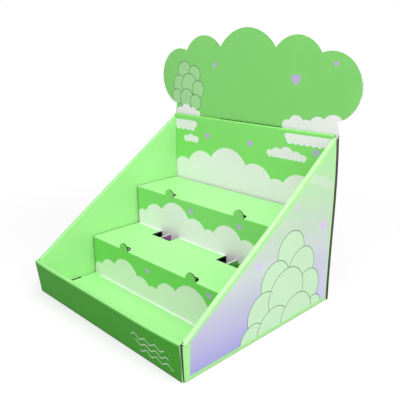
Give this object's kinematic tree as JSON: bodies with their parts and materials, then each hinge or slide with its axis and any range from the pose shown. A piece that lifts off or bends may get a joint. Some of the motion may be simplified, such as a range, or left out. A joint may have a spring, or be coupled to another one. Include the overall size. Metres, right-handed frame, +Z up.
{
  "type": "tiered counter display box",
  "caption": "Tiered cardboard counter display: a double-walled tray with sloping sides, a folded flight of steps on ribs, and a tall cloud-topped header card at the back.",
  "frame": {"origin": "on the resting face, under the middle of the whole object", "axes": "+X to the right as seen from the front, along the widest extent; +Y from the front lip to the back; +Z up"},
  "size_m": [0.358, 0.2708, 0.354],
  "materials": {
    "tray_board": "printed corrugated board, satin",
    "step_board": "printed corrugated board, satin",
    "rib_mauve_board": "printed corrugated board, satin",
    "rib_green_board": "printed corrugated board, satin",
    "header_board": "printed corrugated board, satin"
  },
  "bodies": {
    "root": {"tray": "tray_board", "step_insert": "step_board", "left_rib": "rib_mauve_board", "right_rib": "rib_green_board", "header_card": "header_board"}
  },
  "joints": []
}
